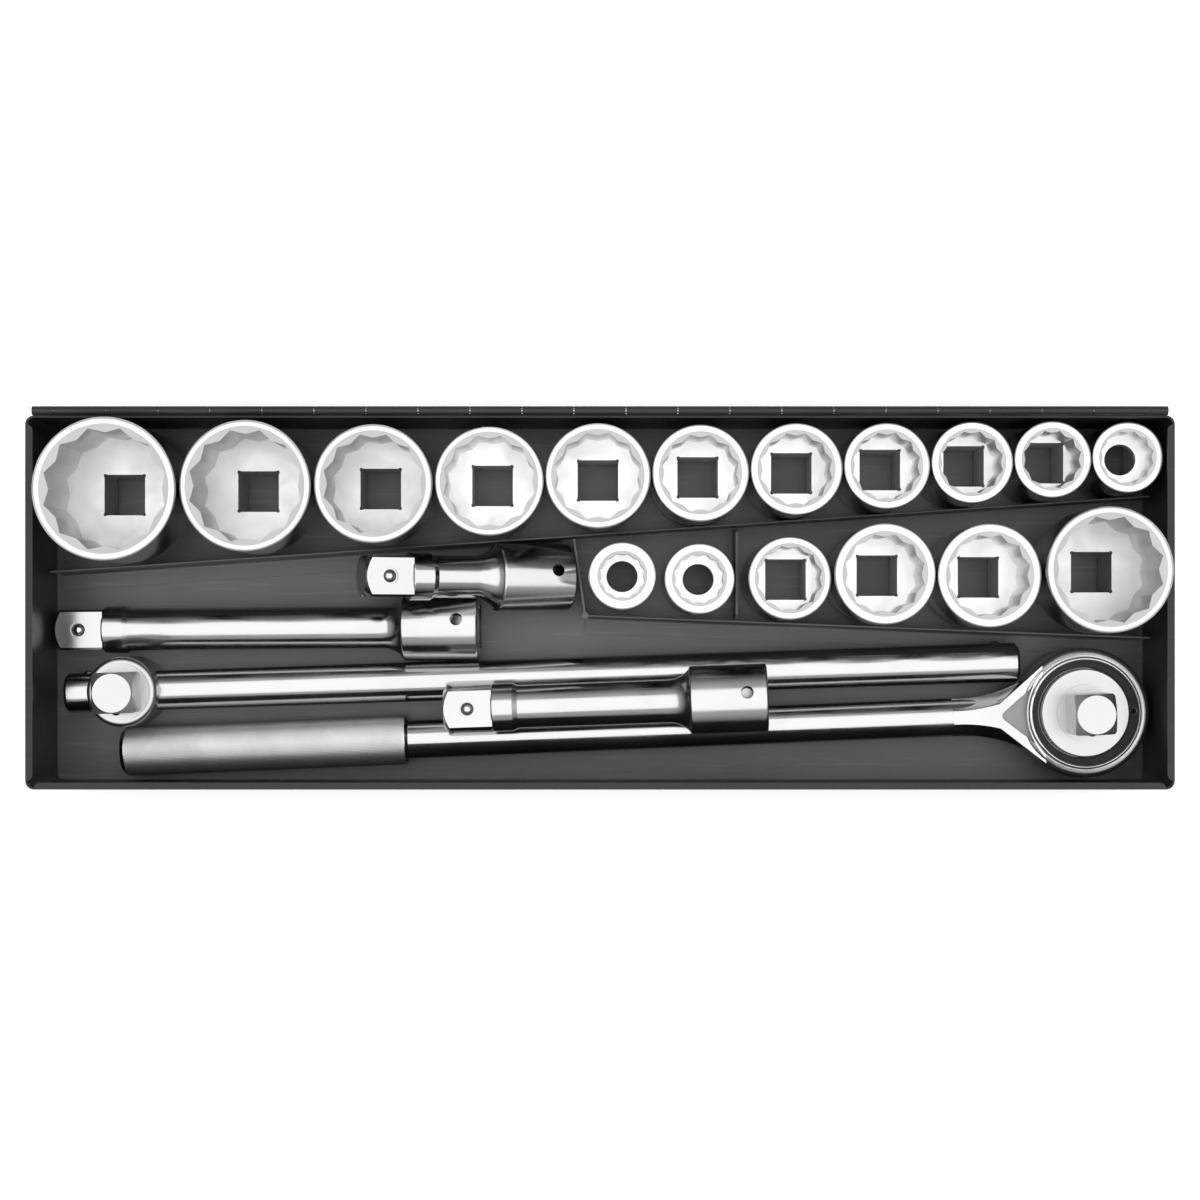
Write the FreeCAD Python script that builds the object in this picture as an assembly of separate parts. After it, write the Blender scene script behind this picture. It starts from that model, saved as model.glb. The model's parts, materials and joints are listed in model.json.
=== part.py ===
import FreeCAD, Part
import math
import os
from FreeCAD import Placement, Rotation, Vector

# Socket wrench set in an open steel case. Millimetres, +Z up.
# Origin: middle of the case's underside. +Y is the hinge side, +X runs along the case.

# case
case_length = 531.0
case_depth = 172.8
wall_height = 59.0
sheet = 1.0
corner_radius = 4.0
foot_round = 0.7
side_lip = 3.4
front_lip = 3.2
lip_corner = 3.0

# clearances
seat_gap = 0.3
side_gap = 0.4
socket_gap = 0.65
running_fit = 0.06

# how far a cutter runs past what it cuts
past = 5.0

# dividers
divider_height = 25.0
divider_sheet = 1.0
divider_flange = 8.0
divider_bend = 1.6
rear_row_depth = 53.3
rear_divider_rise = 0.0687
front_divider_offset = 46.05
front_divider_rise = -0.0393
flange_stop = 6.0
bay_end_gap = 1.05
bay_end_lean = 5.4
cross_gap_left = 1.9
cross_gap_right = 2.9
cross_corner = 2.0

# hinge strip along the back wall
hinge_barrel = 4.2
hinge_sheet = 0.9
hinge_leaf = 16.0
hinge_end_inset = 3.5
hinge_pin_diameter = 2.3
hinge_rise = 1.2
knuckle_pitch = 23.96
first_knuckle = 10.4
knuckle_slit = 0.4

# drive squares
drive_square = 19.05
drive_edge = 1.0
drive_length = 23.0
drive_tip = 18.0
drive_tip_depth = 2.6
square_clearance = 0.1
corner_relief = 0.9
drive_lead = 1.0

# detent balls
ball_diameter = 6.0
ball_proud = 1.2
ball_travel = 1.3
spring_room = 4.9
ball_pocket = ball_diameter - ball_proud + ball_travel + spring_room
stake_ring = 7.7
stake_depth = 0.9
spring_wire = 0.7
spring_turns = 5

# sockets: width across flats, rim diameter, stand-off from the divider
rear_row = [
    (50.0, 65.4, 0.0),
    (46.0, 60.0, 0.0),
    (41.0, 54.5, 0.0),
    (38.0, 50.1, 0.0),
    (36.0, 48.4, 0.0),
    (32.0, 44.8, 0.0),
    (30.0, 42.6, 0.0),
    (28.0, 40.0, 0.0),
    (26.0, 38.0, 0.0),
    (24.0, 35.9, 0.0),
    (22.0, 33.3, 0.0),
]
front_row = [
    (27.0, 38.6, 0.5),
    (33.0, 46.7, 0.0),
    (34.0, 47.9, 0.5),
    (44.0, 58.0, 0.0),
]
bay_row = [
    (19.0, 31.7, 2.2),
    (21.0, 33.0, 1.6),
]
bay_socket_gap = 3.5
socket_base_height = 27.0
socket_height_rise = 0.77
web_height = 31.0
round_web_height = 36.0
round_hole = 14.7
largest_round_hole_size = 22.0
drive_end_height = 24.0
drive_end_shoulder = 9.0
drive_end_diameter = 44.0
drive_end_growth = 0.25
rim_round = 1.3
foot_chamfer = 1.0
mouth_margin = 0.7
locking_hole = 6.0
locking_hole_height = 10.0

# extension bars
female_diameter = 32.3
female_length = 36.5
female_depth = 25.0
female_round = 1.2
female_hole_inset = 9.8
female_hole_turn = 12.0
collar_diameter = 22.6
collar_length = 9.6
shaft_diameter = 20.2
shaft_flare = 11.0
extension_4in = 101.6
extension_6in = 152.4
extension_8in = 203.2

# sliding T handle
bar_diameter = 19.0
bar_length = 457.2
bar_end_chamfer = 1.4
bar_overhang = 29.3
bar_ball_inset = 10.5
bar_ball_diameter = 5.2
head_diameter = 33.2
head_foot = 15.2
head_height = 33.0
head_round = 2.6
tang_boss = 27.0
tang_boss_height = 1.2
tang_length = 20.5

# ratchet
ratchet_head = 61.5
ratchet_thickness = 27.7
ratchet_back = 53.0
ratchet_bevel = 4.6
rim_crest_inset = 2.1
rim_crest_drop = 1.2
rim_shoulder_drop = 5.6
rim_valley_depth = 0.7
ring_outer = 54.2
gear_bore = 50.5
gear_floor = 7.0
gear_tip = 49.0
gear_root = 45.0
gear_teeth = 24
gear_top = 21.6
plate_diameter = 42.5
plate_top = 27.0
journal_diameter = 24.0
snap_ring = 2.0
snap_groove = 0.75
snap_ring_gap = 2.0
ratchet_tang = 24.0
shank_diameter = 18.5
shank_height = 14.0
neck_thickness = 18.0
neck_bevel = 3.5
neck_start = 62.0
neck_inset = 1.2
neck_reach = 14.0
neck_spread = 125.0
ridge_inset = 0.5
ridge_reach = 27.0
ridge_spread = 130.0
ridge_tail = 3.2
ridge_climb = 0.07
ridge_depth = 6.0
triangle_apex = 40.5
triangle_base = 20.0
triangle_half = 17.3
triangle_depth = 4.9
triangle_round = 2.5
triangle_ring_gap = 0.6
grip_diameter = 23.2
grip_length = 138.0
ratchet_reach = 461.0
pawl_pivot = 33.5
pawl_thickness = 11.0
pawl_pin = 5.0
pawl_cover = 3.3
pawl_room = 8.2
pawl_gate_half = 9.6
pawl_gate_end = 20.0
selector_diameter = 17.0
selector_thickness = 3.4
selector_gap = 0.6
selector_notches = 18
plunger_diameter = 3.9
plunger_length = 8.0
plunger_inset = 4.9
plunger_bore = 23.0

# half of the pawl's outline, measured from its pivot
pawl_half = [(-4.5, 1.6), (-2.7, 4.3), (1.0, 6.4), (6.9, 8.3), (9.2, 6.5), (7.3, 3.4)]

# how the tools lie against the case and each other
bar_end_gap = 8.6
bar_right_offset = 23.95
bar_right_lift = 2.8
t_head_gap = 0.8
t_head_lift = 0.55
extension_8in_end_gap = 3.6
extension_8in_offset = 29.31
extension_8in_turn = 0.55
extension_4in_bay_gap = 8.9
extension_4in_offset = 25.05
extension_4in_lean = 20.5
extension_6in_grip_gap = 18.55
extension_6in_shift = 0.6
extension_6in_gap = 1.05

Z = Vector(0, 0, 1)
X = Vector(1, 0, 0)
Y = Vector(0, 1, 0)
O = Vector(0, 0, 0)

case_total_depth = case_depth + hinge_barrel
front_face = -case_total_depth / 2
back_face = front_face + case_depth
right_lip_edge = case_length / 2 - side_lip
left_lip_edge = -right_lip_edge
front_lip_edge = front_face + front_lip
corner_start = case_length / 2 - corner_radius
floor_top = sheet
female_square = drive_square + 2 * square_clearance


def save(shape, name):
    shape = shape.removeSplitter()
    shape.exportStep("parts/" + name + ".step")


def outline(start, *steps):
    """Closed face in the XZ plane. A step is an end point, or the middle and end points of an arc."""
    here = Vector(start[0], 0, start[1])
    first = here
    edges = []
    for step in steps:
        if isinstance(step[0], tuple):
            middle = Vector(step[0][0], 0, step[0][1])
            end = Vector(step[1][0], 0, step[1][1])
            edges.append(Part.Arc(here, middle, end).toShape())
        else:
            end = Vector(step[0], 0, step[1])
            edges.append(Part.makeLine(here, end))
        here = end
    if (here - first).Length > 1e-6:
        edges.append(Part.makeLine(here, first))
    return Part.Face(Part.Wire(edges))


def turned(face, axis):
    return face.revolve(O, axis, 360)


def corner_arc(x, z, radius, sx, sz):
    """Middle point of a quarter-round whose square corner is at (x, z)."""
    cut = radius * (1 - math.sqrt(0.5))
    return (x + sx * cut, z + sz * cut)


def prism(points, z0, z1):
    wire = Part.makePolygon([Vector(x, y, z0) for x, y in points + points[:1]])
    return Part.Face(wire).extrude(Vector(0, 0, z1 - z0))


def block(x0, x1, y0, y1, z0, z1):
    return Part.makeBox(x1 - x0, y1 - y0, z1 - z0, Vector(x0, y0, z0))


def upright_edges(shape):
    found = []
    for edge in shape.Edges:
        box = edge.BoundBox
        if box.XLength < 1e-6 and box.YLength < 1e-6:
            found.append(edge)
    return found


def drive_tang(z0, length):
    """Male square standing on z0, with broken edges and a turned tip."""
    half = drive_square / 2
    square = block(-half, half, -half, half, z0, z0 + length)
    square = square.makeChamfer(drive_edge, upright_edges(square))
    top = z0 + length
    wide = half * 1.5
    taper = drive_tip_depth * (wide - drive_tip / 2) / (half * 1.3 - drive_tip / 2)
    turning = turned(
        outline((0, z0), (wide, z0), (wide, top - taper), (drive_tip / 2, top), (0, top)), Z
    )
    return square.common(turning)


def square_hole(z0, z1):
    """Female square with small round reliefs in its corners."""
    half = female_square / 2
    hole = block(-half, half, -half, half, z0, z1)
    inset = half - corner_relief * 0.55
    for sx in (-1, 1):
        for sy in (-1, 1):
            relief = Part.makeCylinder(corner_relief, z1 - z0, Vector(sx * inset, sy * inset, z0))
            hole = hole.fuse(relief)
    return hole


def square_lead(z0, depth):
    """Tapered lead into a female square whose open face is at z0."""
    half = female_square / 2
    wires = []
    for size, z in ((half + drive_lead, z0), (half - 0.01, z0 + depth)):
        corners = [(-size, -size), (size, -size), (size, size), (-size, size), (-size, -size)]
        wires.append(Part.makePolygon([Vector(x, y, z) for x, y in corners]))
    return Part.makeLoft(wires, True, True)


def ball_hole(radius, depth, ring):
    """Pocket for a detent ball, opening upward at z = 0, with a staked ring round its mouth."""
    pocket = Part.makeCylinder(radius + running_fit, depth + 1, Vector(0, 0, -depth))
    mouth = Part.makeCylinder(ring / 2, stake_depth + 1, Vector(0, 0, -stake_depth))
    return pocket.fuse(mouth)


def ball_spring(radius, depth):
    """Coil between the pocket floor and the underside of its ball."""
    low = -depth + spring_wire / 2 + 0.1
    high = ball_proud - 2 * radius - spring_wire / 2 - 0.1
    coil = Part.makeHelix((high - low) / spring_turns, high - low, radius - spring_wire)
    coil.translate(Vector(0, 0, low))
    start = Vector(radius - spring_wire, 0, low)
    section = Part.Wire(Part.makeCircle(spring_wire / 2, start, Y))
    return Part.Wire(coil.Edges).makePipeShell([section], True, True)


def ball_at(radius):
    return Part.makeSphere(radius, Vector(0, 0, ball_proud - radius))


def lying(x, y, z, yaw, pitch):
    """Place of a tool whose own +X runs at yaw on the plan and climbs at pitch."""
    turn = Rotation(Z, yaw).multiply(Rotation(Y, -pitch))
    return Placement(Vector(x, y, z), turn)


def moved(shape, place):
    shape = shape.copy()
    shape.Placement = place.multiply(shape.Placement)
    return shape


# Case


def case_floor():
    """Floor panel, set inside the foot of the walls."""
    half = case_length / 2 - sheet
    floor = block(-half, half, front_face + sheet, back_face - sheet, 0, sheet)
    return floor.makeFillet(corner_radius - sheet, upright_edges(floor))


def wall_band():
    """The four walls as one ring, rounded at the corners and along the foot."""
    half = case_length / 2
    outer = block(-half, half, front_face, back_face, 0, wall_height)
    outer = outer.makeFillet(corner_radius, upright_edges(outer))
    outer = outer.makeFillet(foot_round, [e for e in outer.Edges if e.BoundBox.ZMax < 1e-6])
    inner = block(
        -half + sheet, half - sheet, front_face + sheet, back_face - sheet, -past, wall_height + past
    )
    return outer.cut(inner.makeFillet(corner_radius - sheet, upright_edges(inner)))


def side_lip_piece(sign):
    """Top edge of an end wall, folded inwards, with rounded corners."""
    outer = sign * case_length / 2
    inner = outer - sign * side_lip
    strip = block(
        min(outer, inner), max(outer, inner),
        front_face + corner_radius, back_face - corner_radius,
        wall_height - sheet, wall_height,
    )
    corners = [e for e in upright_edges(strip) if abs(e.Vertexes[0].X - inner) < 1e-6]
    return strip.makeFillet(min(lip_corner, side_lip - side_gap), corners)


def front_lip_piece():
    """Top edge of the front wall, folded inwards between the corners."""
    strip = block(
        -corner_start, corner_start, front_face, front_lip_edge, wall_height - sheet, wall_height
    )
    corners = [e for e in upright_edges(strip) if e.Vertexes[0].Y > front_face + sheet]
    return strip.makeFillet(min(lip_corner, front_lip - side_gap), corners)


def end_wall(sign):
    """End wall with its lip, from the middle of one corner to the middle of the other."""
    reach = corner_radius + past
    near, far = front_face + corner_radius, back_face - corner_radius
    inner, outer = sign * corner_start, sign * (corner_start + reach)
    room = prism(
        [(inner, near), (outer, near - reach), (outer, far + reach), (inner, far)],
        -past, wall_height + past,
    )
    return wall_band().common(room).fuse(side_lip_piece(sign))


def long_wall(inner_y, side):
    """Front or back wall from the middle of one corner to the middle of the other.

    inner_y is where the corners' centres lie, and side is -1 for the front wall, +1 for the back.
    """
    reach = corner_radius + past
    wide = corner_start + reach
    outer_y = inner_y + side * reach
    room = prism(
        [(-corner_start, inner_y), (-wide, outer_y), (wide, outer_y), (corner_start, inner_y)],
        -past, wall_height + past,
    )
    return wall_band().common(room)


def divider_profile():
    """Cross-section of a divider: an upright web with a flange folded out along the floor."""
    t = divider_sheet
    r = divider_bend
    top = floor_top + divider_height
    low = floor_top
    return outline(
        (t / 2, low + r + t),
        (t / 2, top - t / 2),
        ((0, top), (-t / 2, top - t / 2)),
        (-t / 2, low + r + t),
        (corner_arc(-t / 2, low + t, r, -1, 1), (-t / 2 - r, low + t)),
        (-divider_flange - t / 2, low + t),
        (-divider_flange - t / 2, low),
        (-t / 2 - r, low),
        (corner_arc(t / 2, low, r + t, -1, 1), (t / 2, low + r + t)),
    )


def divider_strip(x0, x1, middle, rise):
    """Straight divider from x0 to x1 along y = middle + rise * x, with its flange to the front."""
    length = (x1 - x0) * math.sqrt(1 + rise * rise)
    face = divider_profile()
    face.rotate(O, Z, 90)
    strip = face.extrude(Vector(length, 0, 0))
    strip.rotate(O, Z, math.degrees(math.atan(rise)))
    strip.translate(Vector(x0, middle + rise * x0, 0))
    return strip


def fold_room(x0, x1):
    """Space along the case that holds a divider's flange and the bend above it."""
    return block(x0, x1, front_face, back_face, 0, floor_top + divider_sheet + divider_bend)


def rear_line(x):
    return rear_divider_middle + rear_divider_rise * x


def front_line(x):
    return front_divider_middle + front_divider_rise * x


def rear_divider():
    """Web and flange of the long divider; the flange stops where the socket bays begin."""
    strip = divider_strip(left_lip_edge, right_lip_edge, rear_divider_middle, rear_divider_rise)
    start = bay_end_x - bay_end_lean - flange_stop
    end = right_lip_edge + past
    front = rear_line(start) - divider_flange - past
    face = divider_sheet / 2
    clear = prism(
        [(start, front), (end, front), (end, rear_line(end) - face), (start, rear_line(start) - face)],
        floor_top - past, floor_top + divider_sheet + divider_bend,
    )
    fold = fold_room(-case_length / 2, start)
    return strip.cut(clear).cut(fold), strip.common(fold)


def front_divider():
    """Web, flange and turned-back left end of the front divider."""
    strip = divider_strip(bay_end_x, right_lip_edge, front_divider_middle, front_divider_rise)
    t = divider_sheet / 2
    top_x = bay_end_x - bay_end_lean
    top_y = rear_line(top_x) - divider_sheet - side_gap
    low_y = front_line(bay_end_x)
    end = prism(
        [
            (bay_end_x - t, low_y - t), (bay_end_x + t, low_y - t),
            (top_x + t, top_y), (top_x - t, top_y),
        ],
        floor_top, floor_top + divider_height,
    )
    bend = Part.makeCylinder(divider_bend, divider_height, Vector(bay_end_x, low_y, floor_top))
    inside = Part.makeCylinder(
        divider_bend * 0.5, divider_height,
        Vector(bay_end_x + divider_bend, low_y + divider_bend, floor_top),
    )
    fold = fold_room(-case_length / 2, case_length / 2)
    return strip.cut(fold), strip.common(fold), end.fuse(bend.cut(inside)).cut(strip)


def cross_divider(x):
    """Short upright plate between the two socket bays, its upper corners cut."""
    t = divider_sheet / 2
    y0 = front_line(x) + divider_sheet + side_gap
    y1 = rear_line(x - divider_sheet) - divider_sheet - side_gap
    web = block(x - t, x + t, y0, y1, floor_top, floor_top + divider_height)
    upper = [e for e in web.Edges if e.BoundBox.ZMin > floor_top + 1 and e.BoundBox.YLength < 1e-6]
    return web.makeChamfer(cross_corner, upper)


# Hinge strip

barrel_y = back_face + hinge_barrel / 2
barrel_z = wall_height + hinge_rise
hinge_start = -case_length / 2 + hinge_end_inset
hinge_end = case_length / 2 - hinge_end_inset


def knuckle_spans():
    """Start and end of every knuckle along the strip, shared in turn by the two leaves."""
    spans = []
    start = hinge_start
    end = hinge_start + first_knuckle
    while start < hinge_end - 2:
        spans.append((start, min(end, hinge_end)))
        start = end
        end = start + knuckle_pitch
    return spans


def knuckle(side, x0, x1):
    """Rolled knuckle with the top of its leaf; side -1 is the case leaf, +1 the lid leaf."""
    r = hinge_barrel / 2
    flat = r - hinge_sheet
    low = -r - 2.0
    tangent = -math.sqrt(r * r - flat * flat)
    face = outline(
        (side * r, low),
        (side * r, 0),
        ((0, r), (-side * r, 0)),
        ((-side * r * math.sin(0.6), -r * math.cos(0.6)), (side * flat, tangent)),
        (side * flat, low),
    )
    pin_hole = Part.Face(Part.Wire(Part.makeCircle(hinge_pin_diameter / 2 + running_fit, O, Y)))
    solid = face.cut(pin_hole).extrude(Vector(0, x0 - x1, 0))
    solid.rotate(O, Z, 90)
    solid.translate(Vector(x0, barrel_y, barrel_z))
    return solid


def hinge_leaf_piece(side, spans):
    r = hinge_barrel / 2
    inner = barrel_y + side * (r - hinge_sheet)
    outer = barrel_y + side * r
    plate = block(
        hinge_start, hinge_end, min(inner, outer), max(inner, outer),
        barrel_z - hinge_leaf, barrel_z - r - 1.0,
    )
    low = barrel_z - hinge_leaf + 1
    ends = [e for e in plate.Edges if e.BoundBox.YLength > 0.5 and e.BoundBox.ZMax < low]
    plate = plate.makeFillet(3.0, [e for e in ends if e.BoundBox.XLength < 1e-6])
    wraps = []
    for x0, x1 in spans:
        wraps.append(knuckle(side, x0 + knuckle_slit / 2, x1 - knuckle_slit / 2))
    return plate.fuse(wraps).removeSplitter()


def hinge_pin():
    pin = Part.makeCylinder(
        hinge_pin_diameter / 2, hinge_end - hinge_start, Vector(hinge_start, barrel_y, barrel_z), X
    )
    return pin.makeChamfer(0.4, [e for e in pin.Edges if e.Length < 10])


# Sockets


def socket_height(rim):
    return socket_base_height + socket_height_rise * rim


def twelve_point(size, z0, z1):
    """Prism of two crossed hexagons, the double-hex grip of a socket."""
    tip = size / 2 / math.cos(math.radians(30))
    valley = size / 2 / math.cos(math.radians(15))
    points = []
    for i in range(24):
        radius = valley if i % 2 == 0 else tip * 0.985
        angle = math.radians(15 * i)
        points.append((radius * math.cos(angle), radius * math.sin(angle)))
    return prism(points, z0, z1)


def socket(size, rim):
    """Socket standing on its drive end with its mouth up."""
    height = socket_height(rim)
    r = rim / 2
    foot = r
    if rim > drive_end_diameter:
        foot = (drive_end_diameter + drive_end_growth * (rim - drive_end_diameter)) / 2
    shoulder = drive_end_height + drive_end_shoulder
    steps = [(foot - foot_chamfer, 0), (foot, foot_chamfer)]
    if foot < r:
        rise = (r - foot) * 0.5
        steps.append((foot, drive_end_height))
        steps.append(((foot + rise * 0.45, drive_end_height + drive_end_shoulder * 0.35),
                      (foot + rise, drive_end_height + drive_end_shoulder * 0.5)))
        steps.append(((r - rise * 0.45, shoulder - drive_end_shoulder * 0.35), (r, shoulder)))
    steps.append((r, height - rim_round))
    steps.append((corner_arc(r, height, rim_round, -1, -1), (r - rim_round, height)))
    steps.append((0, height))
    body = turned(outline((0, 0), *steps), Z)
    round_through = size <= largest_round_hole_size
    web = round_web_height if round_through else web_height
    body = body.cut(twelve_point(size, web, height + 1))
    tip = size / 2 / math.cos(math.radians(30))
    valley = size / 2 / math.cos(math.radians(15))
    wide = tip + mouth_margin
    narrow = valley - 0.6
    lead = Part.makeCone(narrow, wide + 1, wide + 1 - narrow, Vector(0, 0, height - wide + narrow))
    body = body.cut(lead)
    if round_through:
        body = body.cut(square_hole(-1, web - 5.0))
        body = body.cut(Part.makeCylinder(round_hole / 2, web + 2, Vector(0, 0, 0)))
    else:
        body = body.cut(square_hole(-1, web + 1))
    body = body.cut(square_lead(-0.001, drive_lead))
    pin = Part.makeCylinder(locking_hole / 2, r + 5, Vector(0, 0, locking_hole_height), Y * -1)
    return body.cut(pin)


def row_from_right(row, right_edge, gap):
    """Centres along X of a row packed leftwards from its right edge."""
    centres = []
    edge = right_edge
    for size, rim, drawn in reversed(row):
        centres.append(edge - rim / 2)
        edge -= rim + gap
    return list(reversed(centres)), edge + gap


def against(line, rise, x, rim):
    """Y of a socket that stands against the back of a divider."""
    lean = math.sqrt(1 + rise * rise)
    return line(x) + (divider_sheet / 2 + side_gap + rim / 2) * lean


row_end = right_lip_edge - side_gap
rear_x = row_from_right(rear_row, row_end, socket_gap)[0]
front_x, front_edge = row_from_right(front_row, row_end, socket_gap)
cross_x = front_edge - cross_gap_right - divider_sheet / 2
bay_x, bay_edge = row_from_right(bay_row, cross_x - divider_sheet / 2 - cross_gap_left, bay_socket_gap)
bay_end_x = bay_edge - divider_sheet / 2 - bay_end_gap


def save_sockets():
    rows = (
        (rear_row, rear_x, rear_line, rear_divider_rise),
        (front_row, front_x, front_line, front_divider_rise),
        (bay_row, bay_x, front_line, front_divider_rise),
    )
    for row, centres, line, rise in rows:
        for (size, rim, drawn), x in zip(row, centres):
            y = against(line, rise, x, rim) + drawn
            body = socket(size, rim)
            body.translate(Vector(x, y, floor_top + seat_gap))
            save(body, "socket_%dmm" % size)


# Extension bars


def extension(length):
    """Extension lying along +X: square end at 0, socket end at its length, ball on the upper face."""
    shaft = shaft_diameter / 2
    collar = collar_diameter / 2
    female = female_diameter / 2
    back = length - female_length
    flare = shaft_flare
    face = outline(
        (drive_length - 0.5, 0),
        (drive_length - 0.5, collar - 1.0),
        (corner_arc(drive_length - 0.5, collar, 1.0, 1, -1), (drive_length + 0.5, collar)),
        (drive_length + collar_length, collar),
        (drive_length + collar_length + 2.4, shaft),
        (back - flare, shaft),
        ((back - flare * 0.32, shaft + (female - shaft) * 0.3), (back, female - female_round)),
        (corner_arc(back, female, female_round, 1, -1), (back + female_round, female)),
        (length - female_round, female),
        (corner_arc(length, female, female_round, -1, -1), (length, female - female_round)),
        (length, 0),
    )
    body = turned(face, X)
    tang = drive_tang(0, drive_length)
    tang.rotate(O, Y, -90)
    tang.translate(Vector(drive_length, 0, 0))
    body = body.fuse(tang)
    hole = square_hole(0, female_depth + 1)
    hole.rotate(O, Y, 90)
    hole.translate(Vector(length - female_depth, 0, 0))
    lead = square_lead(-0.001, drive_lead)
    lead.rotate(O, Y, -90)
    lead.translate(Vector(length, 0, 0))
    locking = Part.makeCylinder(
        locking_hole / 2, female + 5, Vector(length - female_hole_inset, 0, 0), Z
    )
    locking.rotate(O, X, -female_hole_turn)
    pocket = ball_hole(ball_diameter / 2, ball_pocket, stake_ring)
    pocket.translate(Vector(drive_length / 2, 0, drive_square / 2))
    return body.cut(hole).cut(lead).cut(locking).cut(pocket)


def save_extension(name, length, place):
    to_ball = Placement(Vector(drive_length / 2, 0, drive_square / 2), Rotation())
    ball_place = place.multiply(to_ball)
    save(moved(extension(length), place), name)
    save(moved(ball_at(ball_diameter / 2), ball_place), name + "_ball")
    save(moved(ball_spring(ball_diameter / 2, ball_pocket), ball_place), name + "_spring")


# Sliding T handle: its own +X runs along the bar, its own +Z up the head


def bar_ball_places():
    low = -bar_overhang + bar_ball_inset
    high = bar_length - bar_overhang - bar_ball_inset
    turn = Rotation(X, -90)
    return [Placement(Vector(x, bar_diameter / 2, 0), turn) for x in (low, high)]


def t_bar():
    bar = Part.makeCylinder(bar_diameter / 2, bar_length, Vector(-bar_overhang, 0, 0), X)
    bar = bar.makeChamfer(bar_end_chamfer, [e for e in bar.Edges if e.BoundBox.XLength < 1e-6])
    for place in bar_ball_places():
        bar = bar.cut(moved(ball_hole(bar_ball_diameter / 2, ball_pocket, bar_ball_diameter), place))
    return bar


def t_head():
    r = head_diameter / 2
    top = head_height - head_foot
    boss = tang_boss / 2
    face = outline(
        (0, -head_foot),
        (r - 1.0, -head_foot),
        (r, 1.0 - head_foot),
        (r, top - head_round),
        (corner_arc(r, top, head_round, -1, -1), (r - head_round, top)),
        (boss, top),
        (boss, top + tang_boss_height),
        (0, top + tang_boss_height),
    )
    head = turned(face, Z).fuse(drive_tang(top, tang_boss_height + tang_length))
    bore = Part.makeCylinder(bar_diameter / 2 + running_fit, head_diameter + 4, Vector(-r - 2, 0, 0), X)
    return head.cut(bore).cut(moved(tang_pocket(), tang_ball_place(top + tang_boss_height, tang_length)))


def tang_pocket():
    return ball_hole(ball_diameter / 2, ball_pocket, stake_ring)


def tang_ball_place(base, length):
    """Ball in the front face of an upright tang, half way along it."""
    return Placement(Vector(0, -drive_square / 2, base + length / 2), Rotation(X, 90))


# Ratchet: its own +Z runs up the drive, its handle along its own -X


def neck_section(inset, reach, spread, tail, z, climb=0.0):
    """Plan of the neck at one height: from the round head, through a hollow flare, to the shank.

    z is its height at the shank, and it climbs towards the head.
    """
    r = ratchet_head / 2 - inset
    angle = math.radians(spread)
    tangent = angle - math.pi / 2
    touch = (r * math.cos(angle), r * math.sin(angle))
    bend = (touch[0] - reach * math.cos(tangent), touch[1] - reach * math.sin(tangent))
    end = (-neck_start, tail)
    hollow = (bend[0] + (end[0] - bend[0]) * 0.42, end[1] + (bend[1] - end[1]) * 0.26)

    def at(place, side):
        return Vector(place[0], side * place[1], z + climb * (place[0] + neck_start))

    return Part.Wire([
        Part.makeLine(at(touch, -1), at(touch, 1)),
        Part.makeLine(at(touch, 1), at(bend, 1)),
        Part.Arc(at(bend, 1), at(hollow, 1), at(end, 1)).toShape(),
        Part.makeLine(at(end, 1), at(end, -1)),
        Part.Arc(at(end, -1), at(hollow, -1), at(bend, -1)).toShape(),
        Part.makeLine(at(bend, -1), at(touch, -1)),
    ])


def ratchet_neck():
    """Neck with bevelled lower edges and a narrower top that ends in two straight ridges."""
    low = neck_floor()
    high = shank_height + shank_diameter / 2
    wide = shank_diameter / 2 - 0.3
    sections = [
        neck_section(neck_inset + neck_bevel, neck_reach, neck_spread, wide - neck_bevel, low),
        neck_section(neck_inset, neck_reach, neck_spread, wide, low + neck_bevel),
        neck_section(neck_inset, neck_reach, neck_spread, wide, high - ridge_depth),
        neck_section(ridge_inset, ridge_reach, ridge_spread, ridge_tail, high, ridge_climb),
    ]
    return Part.makeLoft(sections, True, True)


def ridge_triangle():
    """Recess between the two ridges, with its point towards the shank."""
    floor = ratchet_thickness - triangle_depth
    points = [(-triangle_apex, 0), (-triangle_base, triangle_half), (-triangle_base, -triangle_half)]
    recess = prism(points, floor, ratchet_thickness + past)
    apex = [e for e in upright_edges(recess) if e.Vertexes[0].X < -triangle_apex + 1e-6]
    recess = recess.makeFillet(triangle_round, apex)
    return recess.cut(Part.makeCylinder(ring_outer / 2 + triangle_ring_gap, 2 * ratchet_thickness))


def head_profile():
    """Half section of the head: bevelled back, rounded rim, shallow valley, raised ring and bore."""
    rim = ratchet_head / 2
    top = ratchet_thickness
    ring = ring_outer / 2
    bore = gear_bore / 2
    crest = (rim - rim_crest_inset, top - rim_crest_drop)
    shoulder = top - rim_shoulder_drop
    valley_z = crest[1] - rim_valley_depth
    return outline(
        (0, 0),
        (ratchet_back / 2, 0),
        ((rim - 1.5, ratchet_bevel * 0.45), (rim, ratchet_bevel + 1.5)),
        (rim, shoulder),
        ((rim - rim_crest_inset * 0.2, shoulder + (crest[1] - shoulder) * 0.7), crest),
        ((ring + 0.9, valley_z + 0.25), (ring + 0.3, valley_z)),
        (ring, valley_z),
        ((ring - 0.4, top - 0.5), (ring - 1.2, top)),
        (bore + 0.4, top),
        (bore, top - 0.4),
        (bore, gear_floor),
        (0, gear_floor),
    )


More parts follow.
